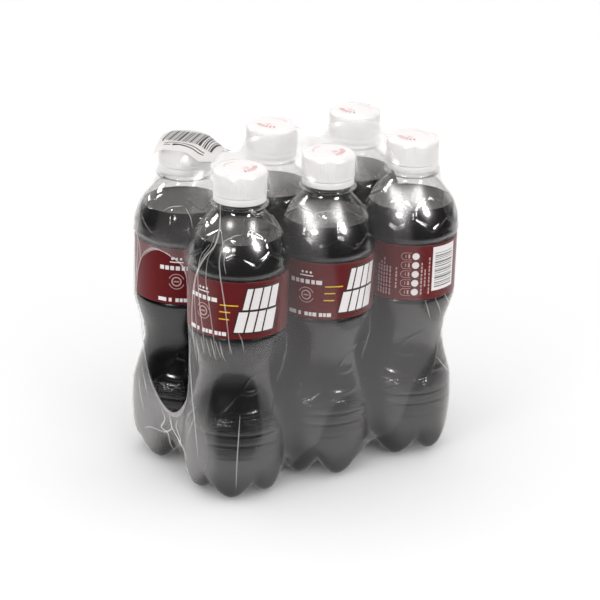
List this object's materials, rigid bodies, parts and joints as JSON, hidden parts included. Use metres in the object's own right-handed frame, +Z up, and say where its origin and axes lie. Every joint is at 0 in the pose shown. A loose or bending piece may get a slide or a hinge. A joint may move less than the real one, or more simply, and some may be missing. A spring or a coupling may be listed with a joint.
{
  "type": "case of soda bottles",
  "caption": "Small plastic bottles of dark soft drink with screw caps and wrap-round labels, held in two rows by a shrink-wrapped clear film that is open at both ends, with a sticker on top.",
  "frame": {"origin": "on the floor, under the middle of the pack", "axes": "+X along the rows of three, +Y from the front row to the back row, +Z up"},
  "size_m": [0.1826, 0.123, 0.2007],
  "materials": {
    "bottle": "clear blow-moulded plastic, glossy",
    "drink": "very dark brown liquid",
    "label": "printed dark red film label",
    "cap": "white moulded plastic, fine knurls",
    "film": "clear shrink film, glossy, slightly milky, with creases",
    "sticker": "white printed paper sticker"
  },
  "bodies": {
    "root": {"bottle_front_left": "bottle", "bottle_front_middle": "bottle", "bottle_front_right": "bottle", "bottle_back_left": "bottle", "bottle_back_middle": "bottle", "bottle_back_right": "bottle", "drink_front_left": "drink", "drink_front_middle": "drink", "drink_front_right": "drink", "drink_back_left": "drink", "drink_back_middle": "drink", "drink_back_right": "drink", "label_front_left": "label", "label_front_middle": "label", "label_front_right": "label", "label_back_left": "label", "label_back_middle": "label", "label_back_right": "label", "cap_front_left": "cap", "cap_front_middle": "cap", "cap_front_right": "cap", "cap_back_left": "cap", "cap_back_middle": "cap", "cap_back_right": "cap", "film": "film", "sticker": "sticker"}
  },
  "joints": []
}
